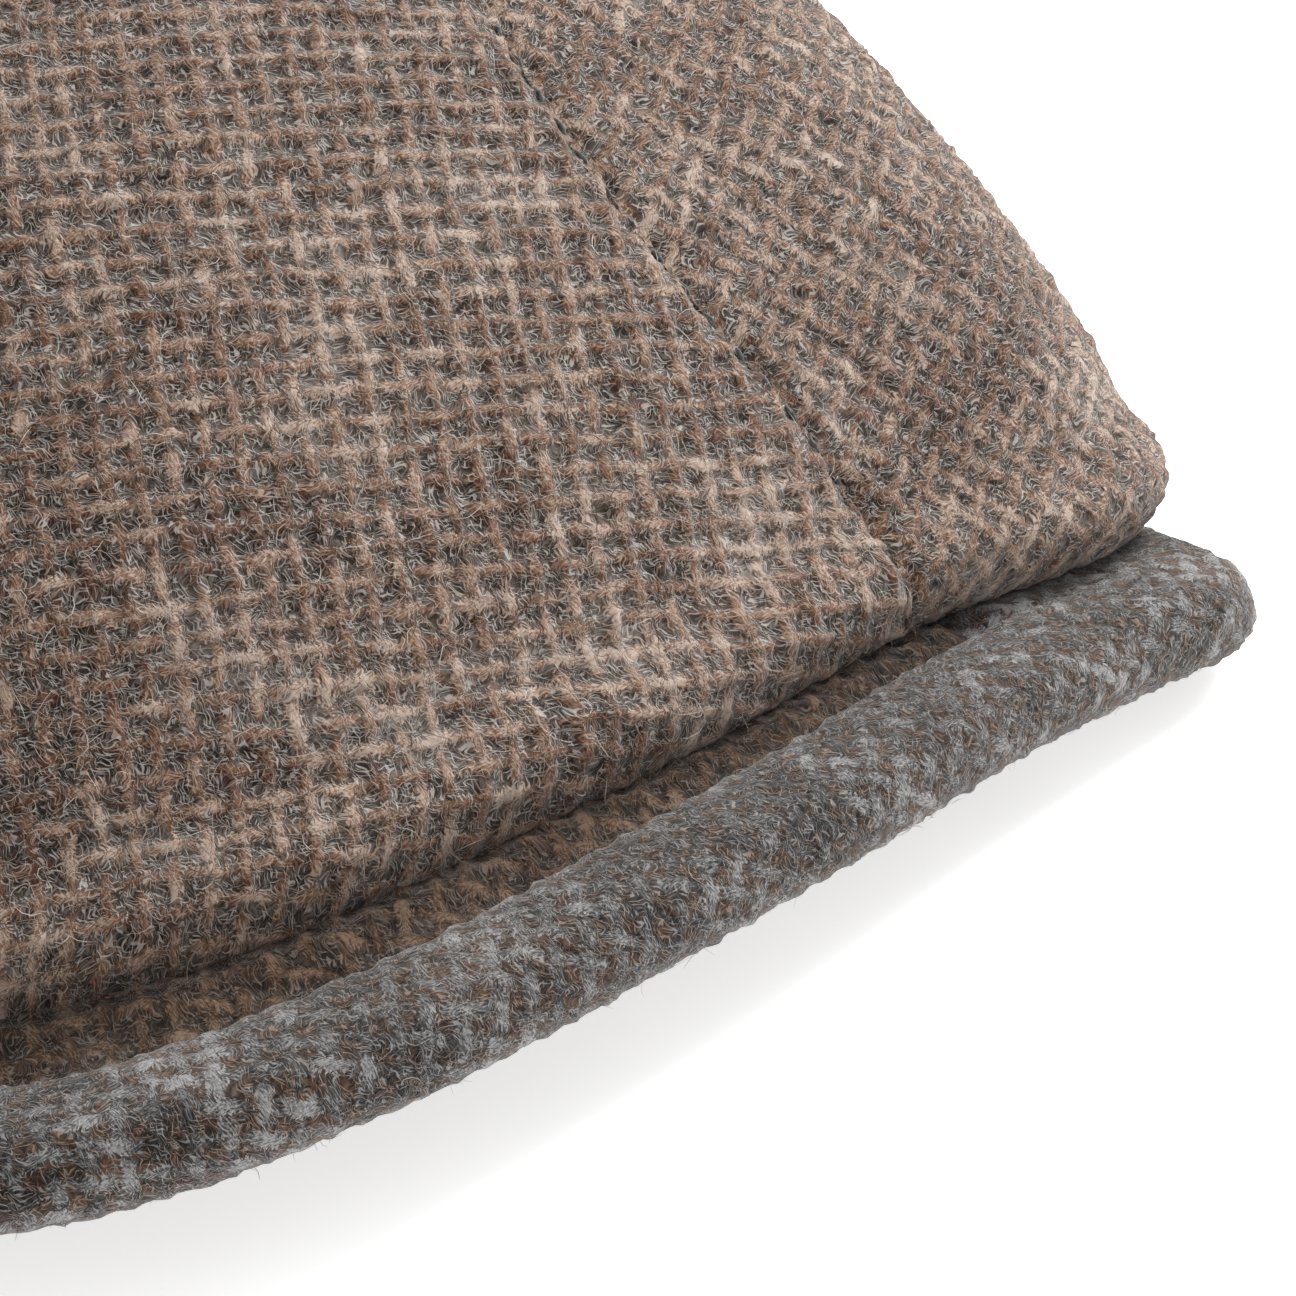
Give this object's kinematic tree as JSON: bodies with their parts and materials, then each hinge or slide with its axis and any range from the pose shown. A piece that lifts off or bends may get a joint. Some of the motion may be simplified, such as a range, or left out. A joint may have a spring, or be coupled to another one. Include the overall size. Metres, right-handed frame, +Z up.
{
  "type": "flat cap",
  "caption": "Soft flat cap of wool tweed: a low domed crown of a top panel and side panels, sewn over a short padded peak.",
  "frame": {"origin": "under the middle of the whole cap, on the surface that its rim and the corners of its peak rest on", "axes": "+Z up out of the crown, -Y towards the peak, +X towards the wearer's left"},
  "size_m": [0.1896, 0.2538, 0.0914],
  "materials": {
    "top_panel_tweed": "fuzzy brown and grey wool weave",
    "side_panel_left_tweed": "fuzzy brown and grey wool weave",
    "side_panel_right_tweed": "fuzzy brown and grey wool weave",
    "peak_tweed": "the cloth's grey side, fuzzy wool",
    "peak_top_cover_tweed": "fuzzy brown and grey wool weave"
  },
  "bodies": {
    "root": {"top_panel": "top_panel_tweed", "side_panel_left": "side_panel_left_tweed", "side_panel_right": "side_panel_right_tweed", "peak": "peak_tweed", "peak_top_cover": "peak_top_cover_tweed"}
  },
  "joints": []
}
